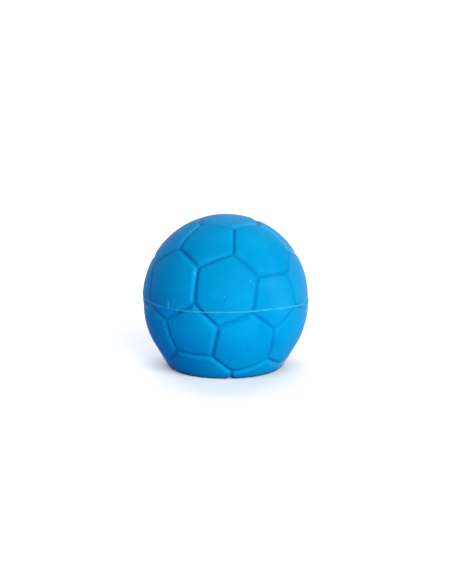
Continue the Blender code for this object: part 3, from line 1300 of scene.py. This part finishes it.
    def with_dust_and_sheen(self, g: Graph, colour: bpy.types.NodeSocket) -> bpy.types.NodeSocket:
        """Colour with a painted grazing sheen, partly fine dust, along the outline, and paler on
        the crown.

        The share along the outline is a high power of the facing weight, taken on
        a plain ball whose lower half is flattened like the ball's leaning side.

        Args:
            g: the material's graph.
            colour: the colour under the painted sheen and dust.

        Returns:
            The colour's socket.
        """
        outward = g.vector('SUBTRACT', {0: g.where, 1: tuple(self.sizes.centre)})
        parts = g.node('ShaderNodeSeparateXYZ', {0: outward}).outputs
        height = parts["Z"]
        upright = g.maths('MAXIMUM', height, g.times(height, self.lean_share))
        plain = g.node('ShaderNodeCombineXYZ', {0: parts["X"], 1: parts["Y"], 2: upright})
        ahead = g.vector('NORMALIZE', {0: plain.outputs[0]})
        # painted sheen: the facing weight whitens the skin towards the outline
        facing = g.node('ShaderNodeLayerWeight', {"Blend": 0.5, "Normal": ahead})
        held = g.maths('POWER', facing.outputs["Facing"], self.dust_and_sheen_falloff)
        along = g.times(held, self.dust_and_sheen_share)
        # paler towards the crown
        low, high = self.paling_from * self.sizes.radius, self.sizes.radius
        paled = g.between(height, low, high, 0.0, self.crown_paling)
        return g.mix(g.maths('ADD', along, paled), colour, self.dust_and_sheen)

    def material(self, name: str) -> bpy.types.Material:
        """Make the material.

        Args:
            name: its name.

        Returns:
            A material on Object coordinates and the skin's own attributes.
        """
        material, g, shader = new_finish(name)
        dust = self.dustiness(g)
        colour = g.mix(dust, self.colour(g), self.dust)
        clouds = self.clouds(g, self.rough_clouds)
        rough = g.maths('MULTIPLY_ADD', clouds, self.rougher, self.roughness)
        swell = g.times(self.clouds(g, self.swell_clouds), self.swell)
        height = g.maths('ADD', g.effect(self.groups.grain), swell)
        g.feed(shader, {"Base Color": self.with_dust_and_sheen(g, colour),
                        "Roughness": g.maths('MAXIMUM', rough, g.times(dust, self.dust_roughness)),
                        "Normal": g.bump(height, self.bump_height, self.bump_strength),
                        "Specular IOR Level": self.specular,
                        "Sheen Weight": self.sheen,
                        "Sheen Roughness": self.sheen_roughness,
                        "Sheen Tint": self.sheen_tint})
        return material


@dataclass(frozen=True)
class CuredCement:
    """Lighter, slightly glossier cement of the joint."""

    groups: EffectGroups
    thin: tuple = (0.018, 0.350, 0.550, 1.0)
    thick: tuple = (0.036, 0.405, 0.605, 1.0)
    tone_scale: float = 240.0
    roughness: tuple = (0.62, 0.50)   # where it is thin and where it is thick
    bump_height: float = 0.00002
    bump_strength: float = 0.7
    specular: float = 0.03

    def material(self, name: str) -> bpy.types.Material:
        """Make the material.

        Args:
            name: its name.

        Returns:
            A material on Object coordinates.
        """
        material, g, shader = new_finish(name)
        clouds = g.effect(self.groups.cloud, {"Scale": self.tone_scale})
        grain = g.effect(self.groups.grain)
        g.feed(shader, {"Base Color": g.mix(clouds, self.thin, self.thick),
                        "Roughness": g.between(clouds, 0.0, 1.0, *self.roughness),
                        "Normal": g.bump(grain, self.bump_height, self.bump_strength),
                        "Specular IOR Level": self.specular})
        return material


class Lit(Enum):
    """What a light falls on."""

    ALL = "everything"
    BALL = "ball_only"
    FLOOR = "floor_only"


@dataclass(frozen=True)
class SoftSun:
    """Broad even light: where it comes from and how wide it looks, in degrees."""

    name: str
    azimuth: float                    # from +X towards +Y
    elevation: float
    strength: float                   # in watts a square metre
    colour: tuple
    spread: float
    falls_on: Lit = Lit.ALL


@dataclass
class Studio:
    """Pale floor, soft light and camera for the finished ball."""

    sizes: BallSizes
    pieces: list
    floor_radius: float = 6.0
    floor_level: float = -0.00003     # just clear of the grip face
    floor_hole: float = 0.0185        # hidden under the grip face
    floor_rings: int = 24
    floor_steps: int = 64
    floor_seen: tuple = (0.84, 0.84, 0.84, 1.0)
    floor_thrown: tuple = (0.10, 0.20, 0.48, 1.0)    # what it throws up at the ball
    camera_distance: float = 12.0     # in ball radii
    camera_elevation: float = 10.3
    lens: float = 60.75
    camera_right: float = 0.0001
    camera_up: float = 0.00145
    # Surroundings: colour and strength of what the camera sees and of the glow on
    # the ball from below and from above the horizon.
    backdrop: tuple = ((1.0, 1.0, 1.0, 1.0), 1.05)
    glow_below: tuple = ((0.30, 0.52, 1.0, 1.0), 0.67)
    glow_above: tuple = ((0.60, 0.70, 1.0, 1.0), 0.05)
    horizon: float = 0.15             # sine of the elevation where below turns to above
    suns: tuple = (
        SoftSun("key_softbox", -53.0, 12.0, 4.92, (1.0, 1.0, 0.98), 50.0),
        SoftSun("top_softbox", 90.0, 62.0, 1.6, (0.45, 0.50, 1.0), 60.0),
        SoftSun("left_fill", -142.0, 18.0, 0.76, (0.75, 0.70, 0.84), 70.0),
        SoftSun("back_rim", 128.0, 15.0, 1.1, (0.72, 0.88, 0.78), 40.0, Lit.BALL),
        SoftSun("floor_front", -90.0, 35.0, 2.3, (0.96, 0.94, 0.87), 80.0, Lit.FLOOR),
        SoftSun("floor_back", 90.0, 30.0, 2.75, (1.0, 0.91, 0.49), 80.0, Lit.FLOOR),
        SoftSun("floor_left", 170.0, 30.0, 0.67, (0.45, 0.81, 1.0), 70.0, Lit.FLOOR),
    )
    receivers: dict = field(init=False)

    def __post_init__(self) -> None:
        """Make a collection for each kind of receiver and put the ball in its own."""
        self.receivers = {lit: bpy.data.collections.new(lit.value) for lit in Lit}
        for piece in self.pieces:
            self.receivers[Lit.BALL].objects.link(piece)

    def floor(self) -> None:
        """Round pale floor: rings of a disc, radius = hole + (R - hole) * share^2.

        The camera sees it pale, other rays see it blue, so that it throws the
        surroundings' colour up at the ball. From below it is clear, and the hole
        under the grip face lets that face be looked at.
        """
        share = np.linspace(0.0, 1.0, self.floor_rings)[:, None]
        angle = np.arange(self.floor_steps)[None, :] / self.floor_steps * 2 * math.pi
        radius = self.floor_hole + (self.floor_radius - self.floor_hole) * share ** 2
        points = np.stack((radius * np.cos(angle), radius * np.sin(angle),
                           np.full_like(radius * angle, self.floor_level)), axis=-1)
        faces = grid_faces(self.floor_rings, self.floor_steps)[:, ::-1]
        mesh = new_mesh("studio_floor", points.reshape(-1, 3), (faces,))
        material = bpy.data.materials.new("pale_floor")
        material.use_nodes = True
        material.node_tree.nodes.clear()
        g = Graph(material.node_tree)
        seen = g.node('ShaderNodeBsdfDiffuse', {"Color": self.floor_seen})
        thrown = g.node('ShaderNodeBsdfDiffuse', {"Color": self.floor_thrown})
        both = g.blend(g.node('ShaderNodeLightPath').outputs["Is Camera Ray"], thrown, seen)
        back = g.node('ShaderNodeNewGeometry').outputs["Backfacing"]
        whole = g.blend(back, both, g.node('ShaderNodeBsdfTransparent'))
        g.node('ShaderNodeOutputMaterial', {"Surface": whole.outputs[0]})
        mesh.materials.append(material)
        floor = new_object("studio_floor", mesh)
        self.receivers[Lit.FLOOR].objects.link(floor)

    def soft_sun(self, sun: SoftSun) -> None:
        """Hang one of the studio's lights.

        Args:
            sun: the light.
        """
        data = bpy.data.lights.new(sun.name, 'SUN')
        data.energy = sun.strength
        data.color = sun.colour
        data.angle = math.radians(sun.spread)
        light = new_object(sun.name, data)
        light.rotation_mode = 'QUATERNION'
        towards = Vector(polar(sun.azimuth, sun.elevation))
        light.rotation_quaternion = towards.to_track_quat('Z', 'Y')
        if sun.falls_on is not Lit.ALL:
            light.light_linking.receiver_collection = self.receivers[sun.falls_on]

    def surround(self) -> None:
        """White backdrop for the camera, and a dim blue glow on the ball."""
        world = bpy.data.worlds.new("studio_surround")
        world.use_nodes = True
        world.node_tree.nodes.clear()
        g = Graph(world.node_tree)
        seen, below, above = (
            g.node('ShaderNodeBackground', {"Color": colour, "Strength": strength})
            for colour, strength in (self.backdrop, self.glow_below, self.glow_above))
        toward = g.node('ShaderNodeTexCoord').outputs["Generated"]
        height = g.node('ShaderNodeSeparateXYZ', {0: toward}).outputs["Z"]
        glow = g.blend(g.between(height, -self.horizon, self.horizon), below, above)
        both = g.blend(g.node('ShaderNodeLightPath').outputs["Is Camera Ray"], glow, seen)
        g.node('ShaderNodeOutputWorld', {"Surface": both.outputs[0]})
        bpy.context.scene.world = world
        bpy.context.scene.view_settings.view_transform = 'Standard'

    def camera(self) -> None:
        """Camera in front of the ball, a little above it and looking slightly down."""
        data = bpy.data.cameras.new("camera")
        data.lens = self.lens
        camera = new_object("camera", data)
        e = math.radians(self.camera_elevation)
        away = Vector((0.0, -math.cos(e), math.sin(e)))
        up = Vector((0.0, math.sin(e), math.cos(e)))
        place = Vector(self.sizes.centre) + away * self.camera_distance * self.sizes.radius
        camera.location = place + Vector((self.camera_right, 0, 0)) + up * self.camera_up
        camera.rotation_mode = 'QUATERNION'
        camera.rotation_quaternion = away.to_track_quat('Z', 'Y')
        bpy.context.scene.camera = camera

    def build(self) -> None:
        """Set the whole studio up."""
        self.camera()
        self.floor()
        for sun in self.suns:
            self.soft_sun(sun)
        self.surround()


def main() -> None:
    """Build the ball's pieces in order, then the studio round them."""
    logging.basicConfig(level=logging.INFO, format="%(name)s: %(message)s")
    sizes = BallSizes.from_frame()
    outline = Outline(sizes)
    net = GrooveNet()
    relief = SkinRelief(sizes, net, outline)
    groups = EffectGroups(EffectShapes())
    rubber = TackyRubber(groups, outline)
    wander = JointWander(sizes.seam)
    pieces = [HalfShell(half, sizes, net, outline, relief, wander).place(rubber)
              for half in Half]
    pieces.append(SeamBond(sizes, wander).place(CuredCement(groups)))
    for piece in pieces:
        LOG.info("%s: %d points", piece.name, len(piece.data.vertices))
    Studio(sizes, pieces).build()
    LOG.info("studio set")


if __name__ == "__main__":
    main()
